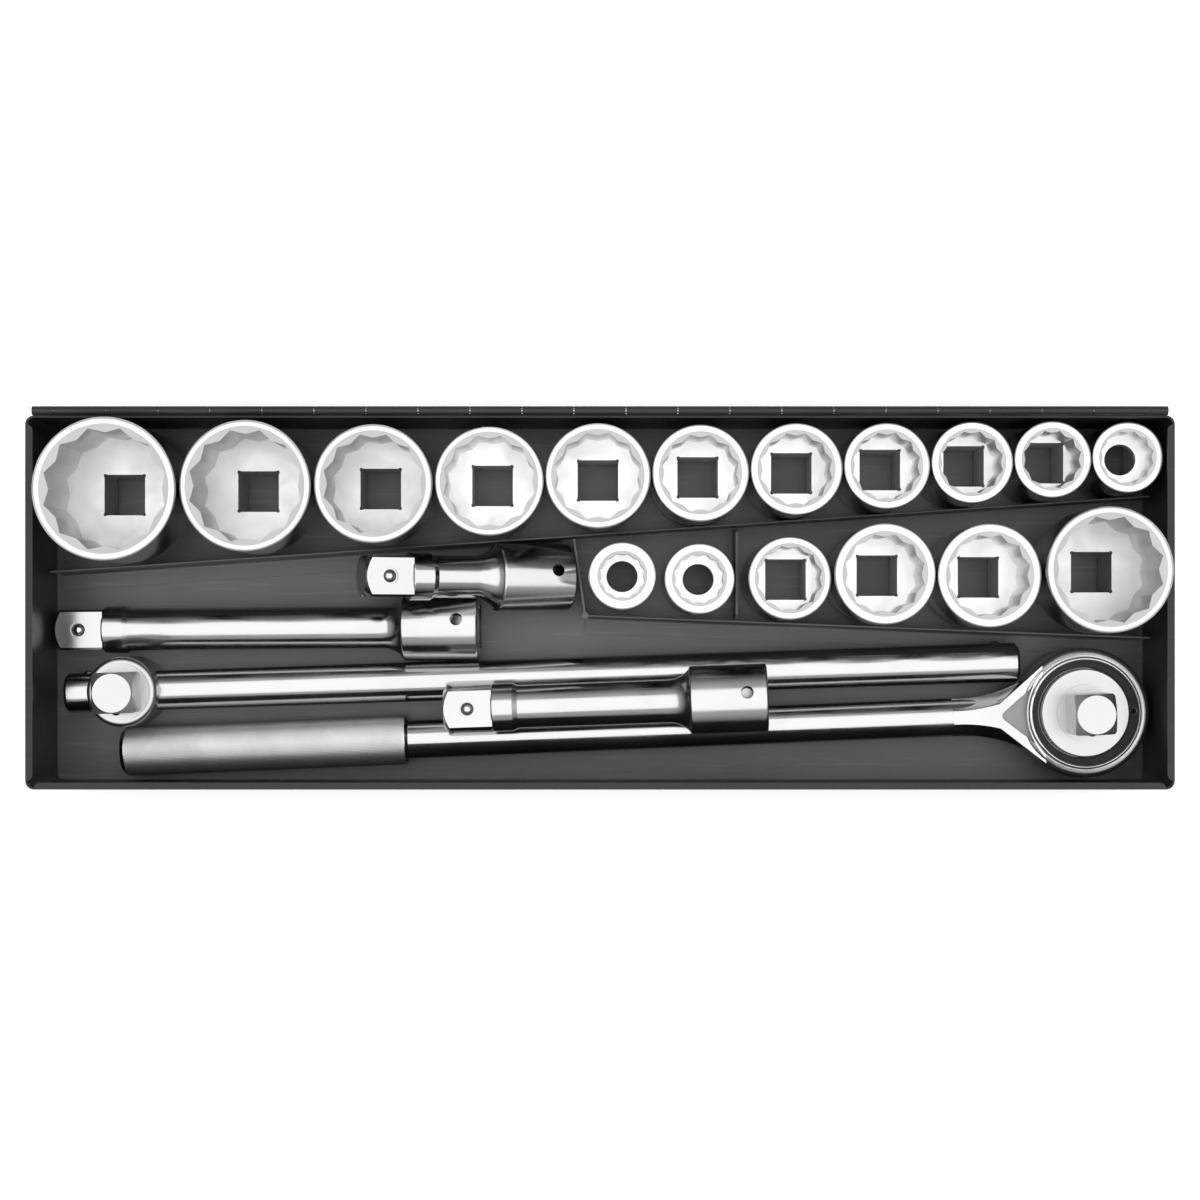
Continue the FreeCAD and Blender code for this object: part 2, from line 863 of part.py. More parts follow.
def ratchet_body():
    bore = gear_bore / 2
    head = turned(head_profile(), Z)
    shank_start = ratchet_head / 2 + shank_diameter / 2
    shank = Part.makeCylinder(
        shank_diameter / 2, ratchet_reach - shank_start, Vector(-shank_start, 0, shank_height), X * -1
    )
    grip_end = -ratchet_reach
    grip_front = grip_end + grip_length
    g = grip_diameter / 2
    grip = turned(
        outline(
            (grip_end, 0), (grip_end, g - 2.0), (grip_end + 2.0, g),
            (grip_front - 1.4, g), (grip_front, g - 1.4), (grip_front, 0),
        ), X
    )
    grip.translate(Vector(0, 0, shank_height))
    neck = ratchet_neck()
    neck = neck.cut(Part.makeCylinder(bore, 2 * ratchet_thickness, Vector(0, 0, gear_floor)))
    body = head.fuse([neck, shank, grip])
    pivot = Vector(-pawl_pivot, 0, 0)
    low = neck_floor() + pawl_cover
    high = low + pawl_thickness + 2 * seat_gap
    room = Part.makeCylinder(pawl_room, high - low, pivot + Z * low)
    gate = block(-pawl_pivot, -pawl_gate_end, -pawl_gate_half, pawl_gate_half, low, high)
    thumb = Part.makeCylinder(
        selector_diameter / 2 + selector_gap, neck_floor() + past + 0.2, pivot - Z * past
    )
    pin_hole = Part.makeCylinder(pawl_pin / 2 + running_fit, low + 1, pivot)
    plunger_hole = Part.makeCylinder(
        plunger_diameter / 2 + running_fit, plunger_bore, pivot + Z * shank_height, X * -1
    )
    journal = Part.makeCylinder(journal_diameter / 2 + running_fit, gear_floor + past, Z * -1)
    groove = Part.makeCylinder(bore + snap_groove, snap_ring + 0.2, Z * (gear_top + seat_gap))
    return body.cut([ridge_triangle(), room, gate, thumb, pin_hole, plunger_hole, journal, groove])


def neck_floor():
    return shank_height - neck_thickness / 2


def gear_outline():
    points = []
    pitch = 2 * math.pi / gear_teeth
    for i in range(gear_teeth):
        middle = (i + 0.5) * pitch
        for radius, offset in (
            (gear_root / 2, -0.47), (gear_tip / 2, -0.12), (gear_tip / 2, 0.12), (gear_root / 2, 0.47)
        ):
            angle = middle + offset * pitch
            points.append((radius * math.cos(angle), radius * math.sin(angle)))
    return points


def ratchet_drive():
    gear = prism(gear_outline(), gear_floor + seat_gap, gear_top)
    plate = plate_diameter / 2
    boss = tang_boss / 2
    journal = journal_diameter / 2
    face = outline(
        (0, 0.4),
        (journal - 0.8, 0.4),
        (journal, 1.2),
        (journal, gear_floor + seat_gap),
        (plate, gear_floor + seat_gap),
        (plate, plate_top - 0.8),
        (plate - 0.8, plate_top),
        (boss, plate_top),
        (boss, plate_top + tang_boss_height),
        (0, plate_top + tang_boss_height),
    )
    drive = turned(face, Z).fuse([gear, drive_tang(plate_top, ratchet_tang + tang_boss_height)])
    place = tang_ball_place(plate_top + tang_boss_height, ratchet_tang)
    return drive.cut(moved(tang_pocket(), place))


def ratchet_ring():
    """Open snap ring that holds the gear in the head."""
    outer = gear_bore / 2 + snap_groove - 0.1
    inner = plate_diameter / 2 + 0.6
    z = gear_top + seat_gap + 0.1
    ring = Part.makeCylinder(outer, snap_ring, Vector(0, 0, z))
    ring = ring.cut(Part.makeCylinder(inner, snap_ring + 2, Vector(0, 0, z - 1)))
    half = snap_ring_gap / 2
    return ring.cut(block(0, outer + past, -half, half, z - 1, z + snap_ring + 1))


def ratchet_pawl():
    z = neck_floor() + pawl_cover + seat_gap
    points = pawl_half + [(x, -y) for x, y in reversed(pawl_half)]
    pawl = prism([(x - pawl_pivot, y) for x, y in points], z, z + pawl_thickness)
    pawl = pawl.makeFillet(0.5, upright_edges(pawl))
    return pawl.cut(Part.makeCylinder(pawl_pin / 2 + 0.02, 2 * ratchet_thickness, Vector(-pawl_pivot, 0, 0)))


def ratchet_selector():
    """Thumb disc with its pin, on the back of the head."""
    top = neck_floor() - 0.1
    low = Vector(0, 0, top - selector_thickness)
    disc = Part.makeCylinder(selector_diameter / 2, selector_thickness, low)
    disc = disc.makeChamfer(0.6, [e for e in disc.Edges if e.BoundBox.ZLength < 1e-6])
    ring = selector_diameter / 2 + 0.3
    for i in range(selector_notches):
        angle = 2 * math.pi * i / selector_notches
        notch_place = Vector(ring * math.cos(angle), ring * math.sin(angle), top - 10)
        disc = disc.cut(Part.makeCylinder(0.8, 20, notch_place))
    slot = block(-6.0, 6.0, -1.2, 1.2, top - selector_thickness - 1, top - selector_thickness + 1.2)
    disc = disc.cut(slot)
    pin = Part.makeCylinder(pawl_pin / 2, pawl_thickness + 3.4, Vector(0, 0, top - 0.5))
    selector = disc.fuse(pin)
    selector.translate(Vector(-pawl_pivot, 0, 0))
    return selector


def ratchet_plunger():
    r = plunger_diameter / 2
    nose = -pawl_pivot - plunger_inset
    tail = nose - plunger_length
    face = outline((nose, 0), ((nose - 0.6, r * 0.75), (nose - r, r)), (tail, r), (tail, 0))
    plunger = turned(face, X)
    plunger.translate(Vector(0, 0, shank_height))
    return plunger


def plunger_spring():
    start = -pawl_pivot - plunger_bore + 0.4
    end = -pawl_pivot - plunger_inset - plunger_length - 0.5
    radius = plunger_diameter / 2 - 0.6
    coil = Part.makeHelix((end - start) / 6, end - start, radius)
    section = Part.Wire(Part.makeCircle(0.35, Vector(radius, 0, 0), Y))
    spring = Part.Wire(coil.Edges).makePipeShell([section], True, True)
    spring.rotate(O, Y, 90)
    spring.translate(Vector(start, 0, shank_height))
    return spring


def slope(rise, run):
    return math.degrees(math.atan2(rise, run))


def resting(spacing, z, r, corner, radius):
    """Height at which a bar clears one of radius r at height z, this far to one side of it.

    The bar is round with its own radius, or has lower corners this far out and down.
    """
    reach = radius + r + extension_6in_gap
    return z + corner + math.sqrt(max(reach ** 2 - (spacing - corner) ** 2, 0))


os.makedirs("parts", exist_ok=True)

spans = knuckle_spans()
save(case_floor(), "case_floor")
save(end_wall(-1), "case_left_wall")
save(end_wall(1), "case_right_wall")
save(long_wall(front_face + corner_radius, -1).fuse(front_lip_piece()), "case_front_wall")
save(long_wall(back_face - corner_radius, 1), "case_back_wall")
save(hinge_leaf_piece(-1, spans[0::2]), "hinge_case_leaf")
save(hinge_leaf_piece(1, spans[1::2]), "hinge_lid_leaf")
save(hinge_pin(), "hinge_pin")

# ratchet: head in the front right corner, grip along the front wall
ratchet_x = right_lip_edge - side_gap - ratchet_head / 2
ratchet_y = front_lip_edge + side_gap + ratchet_head / 2
grip_y = front_lip_edge + side_gap + grip_diameter / 2 + 0.1
ratchet_yaw = slope(ratchet_y - grip_y, ratchet_reach)
grip_z = floor_top + seat_gap + grip_diameter / 2
axis_z = floor_top + seat_gap + shank_height
ratchet_pitch = slope(axis_z - grip_z, ratchet_reach)
ratchet_z = floor_top + seat_gap + 0.2
ratchet_place = lying(ratchet_x, ratchet_y, ratchet_z, ratchet_yaw, ratchet_pitch)
save(moved(ratchet_body(), ratchet_place), "ratchet_body")
save(moved(ratchet_drive(), ratchet_place), "ratchet_drive")
save(moved(ratchet_ring(), ratchet_place), "ratchet_ring")
save(moved(ratchet_pawl(), ratchet_place), "ratchet_pawl")
save(moved(ratchet_selector(), ratchet_place), "ratchet_selector")
save(moved(ratchet_plunger(), ratchet_place), "ratchet_plunger")
save(moved(plunger_spring(), ratchet_place), "ratchet_plunger_spring")
ratchet_ball_place = ratchet_place.multiply(tang_ball_place(plate_top + tang_boss_height, ratchet_tang))
save(moved(ball_at(ball_diameter / 2), ratchet_ball_place), "ratchet_ball")
save(moved(ball_spring(ball_diameter / 2, ball_pocket), ratchet_ball_place), "ratchet_ball_spring")

# dividers: the rear one measured from the back wall, the front one from the ratchet head
rear_divider_middle = back_face - rear_row_depth
front_divider_middle = ratchet_y + front_divider_offset
for name, piece in zip(("rear_divider", "rear_flange"), rear_divider()):
    save(piece, name)
for name, piece in zip(("front_divider", "front_flange", "front_divider_end"), front_divider()):
    save(piece, name)
save(cross_divider(cross_x), "cross_divider")
save_sockets()


def ratchet_line(x):
    run = (ratchet_x - x) * math.tan(math.radians(ratchet_yaw))
    drop = (ratchet_x - x) * math.tan(math.radians(ratchet_pitch))
    return ratchet_y - run, ratchet_z + shank_height - drop


# T handle: head beside the grip, bar sloping down to the right
t_head_x = -case_length / 2 + sheet + bar_end_gap + bar_overhang
t_head_y = ratchet_line(t_head_x)[0] + grip_diameter / 2 + t_head_gap + head_diameter / 2
t_head_z = floor_top + seat_gap + t_head_lift + head_foot
bar_run = bar_length - bar_overhang
t_yaw = slope(ratchet_y + bar_right_offset - t_head_y, bar_run)
t_pitch = slope(floor_top + seat_gap + bar_diameter / 2 + bar_right_lift - t_head_z, bar_run)
t_place = lying(t_head_x, t_head_y, t_head_z, t_yaw, t_pitch)
save(moved(t_bar(), t_place), "t_bar")
save(moved(t_head(), t_place), "t_head")
head_top = head_height - head_foot + tang_boss_height
t_ball_place = t_place.multiply(tang_ball_place(head_top, tang_length))
save(moved(ball_at(ball_diameter / 2), t_ball_place), "t_head_ball")
save(moved(ball_spring(ball_diameter / 2, ball_pocket), t_ball_place), "t_head_spring")
for side, place in zip(("left", "right"), bar_ball_places()):
    bar_ball_place = t_place.multiply(place)
    save(moved(ball_at(bar_ball_diameter / 2), bar_ball_place), "t_bar_ball_" + side)
    save(moved(ball_spring(bar_ball_diameter / 2, ball_pocket), bar_ball_place), "t_bar_spring_" + side)


def bar_line(x):
    run = (x - t_head_x) * math.tan(math.radians(t_yaw))
    rise = (x - t_head_x) * math.tan(math.radians(t_pitch))
    return t_head_y + run, t_head_z + rise


# 8 in extension on the floor, resting on its collar and its socket end
female_r = female_diameter / 2
collar_r = collar_diameter / 2
lean_8 = slope(female_r - collar_r, extension_8in - female_length - drive_length)
extension_8in_y = t_head_y + extension_8in_offset
place_8 = lying(
    -case_length / 2 + sheet + extension_8in_end_gap, extension_8in_y,
    floor_top + seat_gap + collar_r - drive_length * math.tan(math.radians(lean_8)),
    extension_8in_turn, lean_8,
)
save_extension("extension_8in", extension_8in, place_8)

# 4 in extension: socket end on the floor, shaft propped on the 8 in extension
lean = math.radians(extension_4in_lean)
low_z = floor_top + seat_gap + female_r * math.cos(lean)
extension_4in_end = bay_end_x - extension_4in_bay_gap
place_4 = lying(
    extension_4in_end - extension_4in * math.cos(lean), extension_8in_y + extension_4in_offset,
    low_z + extension_4in * math.sin(lean), 0.0, -extension_4in_lean,
)
save_extension("extension_4in", extension_4in, place_4)

# 6 in extension in the valley between the T bar and the ratchet shank
extension_6in_start = ratchet_x - ratchet_reach + grip_length + extension_6in_grip_gap
near_x = extension_6in_start + drive_tip_depth
far_x = extension_6in_start + extension_6in - female_length
stations = []
for x, corner, radius in ((near_x, drive_square / 2 - drive_edge / 2, 0), (far_x, 0, female_r)):
    bar_y, bar_z = bar_line(x)
    shank_y, shank_z = ratchet_line(x)
    y = (bar_y + shank_y) / 2 + extension_6in_shift
    on_bar = resting(bar_y - y, bar_z, bar_diameter / 2, corner, radius)
    on_shank = resting(y - shank_y, shank_z, shank_diameter / 2, corner, radius)
    stations.append((y, max(on_bar, on_shank)))
(near_y, near_z), (far_y, far_z) = stations
yaw_6 = slope(far_y - near_y, far_x - near_x)
lean_6 = slope(far_z - near_z, far_x - near_x)
place_6 = lying(near_x - drive_tip_depth, near_y, near_z, yaw_6, lean_6)
save_extension("extension_6in", extension_6in, place_6)
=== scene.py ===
import json
import math

import bpy
from bpy.props import FloatProperty, FloatVectorProperty, IntProperty, PointerProperty
from mathutils import Matrix, Vector


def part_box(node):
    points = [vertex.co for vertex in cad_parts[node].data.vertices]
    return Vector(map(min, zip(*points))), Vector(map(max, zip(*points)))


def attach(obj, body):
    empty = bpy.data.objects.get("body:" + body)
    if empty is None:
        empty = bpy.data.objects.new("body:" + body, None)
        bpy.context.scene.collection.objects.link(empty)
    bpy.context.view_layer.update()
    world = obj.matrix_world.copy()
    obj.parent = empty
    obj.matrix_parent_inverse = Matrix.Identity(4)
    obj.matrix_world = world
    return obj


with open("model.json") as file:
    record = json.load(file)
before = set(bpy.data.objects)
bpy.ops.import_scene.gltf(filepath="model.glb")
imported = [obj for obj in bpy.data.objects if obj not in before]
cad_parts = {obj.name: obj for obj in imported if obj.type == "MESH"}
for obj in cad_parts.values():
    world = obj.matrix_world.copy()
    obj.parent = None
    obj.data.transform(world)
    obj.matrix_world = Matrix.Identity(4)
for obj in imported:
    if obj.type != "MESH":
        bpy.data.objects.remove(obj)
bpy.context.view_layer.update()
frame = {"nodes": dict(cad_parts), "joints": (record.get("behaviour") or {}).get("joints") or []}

bl_info = {
    "name": "Socket Wrench Set",
    "version": (1, 0, 0),
    "blender": (4, 5, 0),
    "location": "View3D > Sidebar > Socket Set",
    "description": "Finishes, knurled grip and studio stage for a socket wrench set in its case",
    "category": "Object",
}

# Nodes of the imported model, grouped by finish

NODES = sorted(frame["nodes"])
SOCKETS = [name for name in NODES if name.startswith("socket_")]
CASE_WALLS = [name for name in NODES if name.startswith("case_") and name.endswith("_wall")]
CASE_INSIDE = [name for name in NODES if name == "case_floor" or "divider" in name or "flange" in name]
HINGE_LEAVES = ("hinge_case_leaf", "hinge_lid_leaf")
EXTENSIONS = ("extension_4in", "extension_6in", "extension_8in")
SPRINGS = [name for name in NODES if "spring" in name]
BALLS = [name for name in NODES if "ball" in name and name not in SPRINGS]
DARK_STEEL = ("ratchet_ring", "ratchet_pawl", "ratchet_plunger")

# Where a finish changes on its piece, in metres

LARGE_SOCKET = 0.040  # across flats, from which a socket has the darker satin
MOUTH_BEVEL = 0.0007  # width of the bevel beyond the corners of a mouth
FACE_BAND = 0.0002  # how far from its nominal place a face is still found
TRIANGLE_FLOOR = 0.0088  # height of the sunk triangle over the shank's axis
TRIANGLE_MIDDLE = -0.0315  # middle of the triangle from the drive axis
TRIANGLE_HALF = 0.0095  # half its length
HEAD_RADIUS = 0.0312  # round part of the ratchet's head
PLATE_RADIUS = 0.0214  # bright plate under the drive square

# Other fixed values

MILLIMETRE = 0.001
CORNER_ANGLE = math.radians(30)  # from the middle of a flat to a corner of a mouth
LEVEL_EDGE = 0.00001  # an edge that rises less than this, in metres, runs round the grip
WHITE = (1.0, 1.0, 1.0, 1.0)

# How fast the room brightens, as the sine of the angle above the horizon

HORIZON_RISE = 0.02
CEILING_RISE = 0.75


# Settings


class StageSettings(bpy.types.PropertyGroup):
    camera_height: FloatProperty(
        name="Camera height", description="Height of the camera over the case's underside",
        default=1.095, unit="LENGTH")
    camera_y: FloatProperty(
        name="Camera offset", description="Camera's place along Y from the case's middle",
        default=-0.0171, unit="LENGTH")
    lens: FloatProperty(
        name="Lens", description="Focal length in millimetres", default=67.3, unit="CAMERA")
    sensor: FloatProperty(
        name="Sensor", description="Width of the sensor in millimetres", default=36.0, unit="CAMERA")
    shift: FloatProperty(name="Shift", description="Upward shift of the frame", default=0.0292)
    floor_size: FloatProperty(
        name="Floor size", description="Side of the studio floor", default=60.0, unit="LENGTH")
    floor_gap: FloatProperty(
        name="Floor gap", description="Depth of the studio floor under the case", default=0.0006,
        unit="LENGTH")
    floor_colour: FloatVectorProperty(
        name="Floor", description="Colour of the studio floor", subtype="COLOR", default=(0.96, 0.96, 0.96))
    floor_glow: FloatProperty(
        name="Floor glow", description="Light that the studio floor gives", default=0.25)
    light_height: FloatProperty(
        name="Light height", description="Height of the overhead softbox", default=1.9, unit="LENGTH")
    light_width: FloatProperty(
        name="Light width", description="Softbox along the case", default=3.6, unit="LENGTH")
    light_depth: FloatProperty(
        name="Light depth", description="Softbox across the case", default=2.7, unit="LENGTH")
    top_light: FloatProperty(
        name="Top light", description="Power of the overhead softbox", default=46.0, unit="POWER")
    ceiling: FloatProperty(name="Ceiling", description="Brightness of the room overhead", default=0.7)
    horizon: FloatProperty(name="Horizon", description="Brightness of the room at its sides", default=0.02)


class FinishSettings(bpy.types.PropertyGroup):
    paint: FloatVectorProperty(
        name="Case paint", description="Colour of the tray's floor and dividers", subtype="COLOR",
        default=(0.055, 0.056, 0.06))
    paint_dust: FloatVectorProperty(
        name="Paint haze", description="Colour of the lighter haze on floor and dividers", subtype="COLOR",
        default=(0.11, 0.11, 0.115))
    wall_paint: FloatVectorProperty(
        name="Wall paint", description="Colour of the darker walls and the hinge", subtype="COLOR",
        default=(0.016, 0.016, 0.018))
    wall_dust: FloatVectorProperty(
        name="Wall haze", description="Colour of the haze on the walls and the hinge", subtype="COLOR",
        default=(0.032, 0.032, 0.034))
    satin: FloatVectorProperty(
        name="Satin chrome", description="Colour of the smaller sockets", subtype="COLOR",
        default=(0.82, 0.82, 0.83))
    satin_large: FloatVectorProperty(
        name="Large satin chrome", description="Colour of the large sockets", subtype="COLOR",
        default=(0.63, 0.63, 0.64))
    socket_side: FloatVectorProperty(
        name="Socket side", description="Colour of the sockets' polished outsides", subtype="COLOR",
        default=(0.42, 0.42, 0.43))
    bevel: FloatVectorProperty(
        name="Mouth bevel", description="Colour of the frosted bevel in the sockets' mouths", subtype="COLOR",
        default=(0.75, 0.75, 0.76))
    bevel_metal: FloatProperty(
        name="Bevel metal", description="How metallic the frosted bevel looks", subtype="FACTOR", default=0.3)
    polished: FloatVectorProperty(
        name="Polished chrome", description="Colour of the bars and the ratchet", subtype="COLOR",
        default=(0.45, 0.45, 0.46))
    drive: FloatVectorProperty(
        name="Drive chrome", description="Colour of the T head and the ratchet's drive", subtype="COLOR",
        default=(0.45, 0.45, 0.46))
    # Lighter than the polished chrome of the same forging: a painted highlight on the ratchet's round head
    head: FloatVectorProperty(
        name="Ratchet head", description="Colour of the ratchet's round head", subtype="COLOR",
        default=(0.6, 0.6, 0.61))
    grip: FloatVectorProperty(
        name="Grip chrome", description="Colour of the knurled grip", subtype="COLOR",
        default=(0.63, 0.63, 0.64))
    triangle: FloatVectorProperty(
        name="Ratchet recess", description="Colour of the satin triangle on the ratchet", subtype="COLOR",
        default=(0.22, 0.22, 0.23))
    steel: FloatVectorProperty(
        name="Bare steel", description="Colour of the balls and the hinge pin", subtype="COLOR",
        default=(0.62, 0.62, 0.63))
    dark_steel: FloatVectorProperty(
        name="Dark steel", description="Colour of springs, ring, pawl, plunger and gear", subtype="COLOR",
        default=(0.028, 0.028, 0.03))


class KnurlSettings(bpy.types.PropertyGroup):
    radius: FloatProperty(
        name="Grip radius", description="Radius over the points of the knurl", default=0.01185, unit="LENGTH")
    depth: FloatProperty(
        name="Knurl depth", description="Depth of the grooves", default=0.00016, unit="LENGTH")
    lip: FloatProperty(
        name="Lip", description="How far the ends of the knurl turn in", default=0.0009, unit="LENGTH")
    far_end: FloatProperty(
        name="Far end", description="Outer end of the knurl from the drive axis", default=0.4588,
        unit="LENGTH")
    near_end: FloatProperty(
        name="Near end", description="Inner end of the knurl from the drive axis", default=0.3246,
        unit="LENGTH")
    columns: IntProperty(
        name="Columns", description="Half pitches around the grip, an even number", default=96)
    rows: IntProperty(
        name="Rows", description="Half pitches along the grip, an even number up to 200", default=172)


# Small helpers


def settings():
    """The settings of the whole set."""
    return bpy.context.scene.socket_set


def joint(name):
    """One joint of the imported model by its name."""
    for entry in frame["joints"]:
        if entry["name"] == name:
            return entry
    raise RuntimeError("the frame has no joint " + name)


def ratchet_place():
    """The ratchet's own frame: X away from the handle, Z up the drive, on the shank's axis."""
    drive = joint("ratchet_drive_turn")
    up = Vector(drive["axis"]).normalized()
    ahead = -Vector(joint("ratchet_plunger_press")["axis"]).normalized()
    side = up.cross(ahead).normalized()
    turn = Matrix((ahead, side, up)).transposed().to_4x4()
    return Matrix.Translation(Vector(drive["pos_m"])) @ turn


def deselect():
    """Leaves edit mode and selects nothing."""
    if bpy.context.object and bpy.context.object.mode != "OBJECT":
        bpy.ops.object.mode_set(mode="OBJECT")
    bpy.ops.object.select_all(action="DESELECT")


def dress(nodes, material):
    """Puts one finish on CAD nodes."""
    for name in nodes:
        mesh = frame["nodes"][name].data
        mesh.materials.clear()
        mesh.materials.append(material)


def darker(colour, share):
    """A colour at a share of its brightness."""
    return tuple(channel * share for channel in colour)


# Shader nodes, whose sockets are named with _ for a space


def set_sockets(node, **values):
    """Sets sockets of a node by their names."""
    for key, value in values.items():
        node.inputs[key.replace("_", " ")].default_value = value


def feed(tree, node, **sources):
    """Links sockets of a node by their names."""
    for key, source in sources.items():
        tree.links.new(source, node.inputs[key.replace("_", " ")])


def add_node(tree, kind, place, **values):
    """Adds a node and sets its properties, or its sockets where the key names one."""
    node = tree.nodes.new(kind)
    node.location = place
    for key, value in values.items():
        if hasattr(node, key):
            setattr(node, key, value)
        else:
            set_sockets(node, **{key: value})
    return node


def calculate(tree, place, operation, *values, clamp=False):
    """One math node on sockets and numbers."""
    node = add_node(tree, "ShaderNodeMath", place, operation=operation, use_clamp=clamp)
    for slot, value in zip(node.inputs, values):
        if isinstance(value, bpy.types.NodeSocket):
            tree.links.new(value, slot)
        else:
            slot.default_value = value
    return node.outputs["Value"]


def split_vector(tree, place, vector):
    """The X, Y and Z of a vector."""
    node = add_node(tree, "ShaderNodeSeparateXYZ", place)
    feed(tree, node, Vector=vector)
    return node.outputs


def square_reach(tree, place, axes):
    """Square of the distance from the Z axis."""
    x, y = place
    square = calculate(tree, (x - 200, y), "MULTIPLY", axes["X"], axes["X"])
    return calculate(tree, (x, y), "MULTIPLY_ADD", axes["Y"], axes["Y"], square)


def mix_colour(tree, place, low, high, factor):
    """Colour that runs from low to high by a mask; low may be a socket."""
    mix = add_node(tree, "ShaderNodeMix", place, data_type="RGBA")
    first, second = [socket for socket in mix.inputs if socket.type == "RGBA"]
    if isinstance(low, bpy.types.NodeSocket):
        tree.links.new(low, first)
    else:
        first.default_value = (*low, 1.0)
    second.default_value = (*high, 1.0)
    feed(tree, mix, Factor=factor)
    return next(socket for socket in mix.outputs if socket.type == "RGBA")


def map_range(tree, place, value, low, high):
    """Number from low to high as a mask goes from 0 to 1."""
    node = add_node(tree, "ShaderNodeMapRange", place, clamp=True, To_Min=low, To_Max=high)
    feed(tree, node, Value=value)
    return node.outputs["Result"]


def bump(tree, place, height, strength, distance, before=None):
    """Normal that follows a height, over another normal where one is given."""
    node = add_node(tree, "ShaderNodeBump", place, Strength=strength, Distance=distance)
    feed(tree, node, Height=height)
    if before is not None:
        feed(tree, node, Normal=before)
    return node.outputs["Normal"]


# Surface effects that several finishes share


def start_group(name, inputs, outputs):
    """A shader node group with named number and vector sockets."""
    tree = bpy.data.node_groups.new(name, "ShaderNodeTree")
    for label, kind, value in inputs:
        socket = tree.interface.new_socket(label, in_out="INPUT", socket_type=kind)
        if value is not None:
            socket.default_value = value
    for label, kind in outputs:
        tree.interface.new_socket(label, in_out="OUTPUT", socket_type=kind)
    return tree, tree.nodes.new("NodeGroupInput").outputs, tree.nodes.new("NodeGroupOutput")


def cloud_group():
    """Soft clouds with fine specks: handling marks, haze and colour drift."""
    tree, given, result = start_group(
        "clouded_surface",
        [("Vector", "NodeSocketVector", None), ("Scale", "NodeSocketFloat", 40.0),
         ("Speck Scale", "NodeSocketFloat", 900.0)],
        [("Cloud", "NodeSocketFloat"), ("Speck", "NodeSocketFloat")])
    cloud = add_node(tree, "ShaderNodeTexNoise", (-200, 150), Detail=4.0, Roughness=0.55, Distortion=0.6)
    speck = add_node(tree, "ShaderNodeTexNoise", (-200, -150), Detail=2.0, Roughness=0.6)
    spread = add_node(tree, "ShaderNodeMapRange", (50, 150), clamp=True, From_Min=0.32, From_Max=0.68)
    feed(tree, cloud, Vector=given["Vector"], Scale=given["Scale"])
    feed(tree, speck, Vector=given["Vector"], Scale=given["Speck Scale"])
    feed(tree, spread, Value=cloud.outputs["Fac"])
    feed(tree, result, Cloud=spread.outputs["Result"], Speck=speck.outputs["Fac"])


def scratch_group():
    """Thin scratches along the axis on which Stretch is smallest."""
    tree, given, result = start_group(
        "fine_scratches",
        [("Vector", "NodeSocketVector", None), ("Stretch", "NodeSocketVector", (60.0, 1800.0, 1800.0)),
         ("Amount", "NodeSocketFloat", 0.3)],
        [("Scratch", "NodeSocketFloat")])
    scale = add_node(tree, "ShaderNodeVectorMath", (-400, 0), operation="MULTIPLY")
    tree.links.new(given["Vector"], scale.inputs[0])
    tree.links.new(given["Stretch"], scale.inputs[1])
    noise = add_node(tree, "ShaderNodeTexNoise", (-200, 0), Scale=1.0, Detail=3.0, Roughness=0.7)
    feed(tree, noise, Vector=scale.outputs["Vector"])
    sharp = add_node(tree, "ShaderNodeMapRange", (0, 0), clamp=True, From_Min=0.56, From_Max=0.72)
    feed(tree, sharp, Value=noise.outputs["Fac"])
    level = calculate(tree, (200, 0), "MULTIPLY", sharp.outputs["Result"], given["Amount"])
    feed(tree, result, Scratch=level)


def lathe_group():
    """Fine rings round the Z axis of its vector, as a turned face has."""
    tree, given, result = start_group(
        "turned_rings",
        [("Vector", "NodeSocketVector", None), ("Rings", "NodeSocketFloat", 900.0)],
        [("Height", "NodeSocketFloat")])
    rings = add_node(
        tree, "ShaderNodeTexWave", (-200, 0), wave_type="RINGS", rings_direction="Z",
        Distortion=1.2, Detail=2.0, Detail_Scale=1.5)
    feed(tree, rings, Vector=given["Vector"], Scale=given["Rings"])
    feed(tree, result, Height=rings.outputs["Fac"])


def place_group(tree, name, place, vector, **values):
    """Places one effect in a material with its own values."""
    node = add_node(tree, "ShaderNodeGroup", place, node_tree=bpy.data.node_groups[name], **values)
    feed(tree, node, Vector=vector)
    return node.outputs


# Finishes


def new_material(name):
    """A new material and its shader."""
    material = bpy.data.materials.new(name)
    material.use_nodes = True
    return material, material.node_tree.nodes["Principled BSDF"]


def start_finish(name):
    """A new material with its node tree, its shader and its Object coordinates."""
    material, shader = new_material(name)
    where = add_node(material.node_tree, "ShaderNodeTexCoord", (-1100, 0))
    return material, material.node_tree, shader, where.outputs["Object"]


def shade_where(material, mask, colour, rougher):
    """Gives the part of a finish under a mask its own colour and adds to its roughness."""
    tree = material.node_tree
    shader = tree.nodes["Principled BSDF"]
    base = shader.inputs["Base Color"].links[0].from_socket
    plain = shader.inputs["Roughness"].links[0].from_socket
    x = base.node.location.x + 200
    feed(tree, shader, Base_Color=mix_colour(tree, (x, 250), base, colour, mask))
    feed(tree, shader, Roughness=calculate(tree, (x, 0), "MULTIPLY_ADD", mask, rougher, plain))
    shader.location.x = x + 250


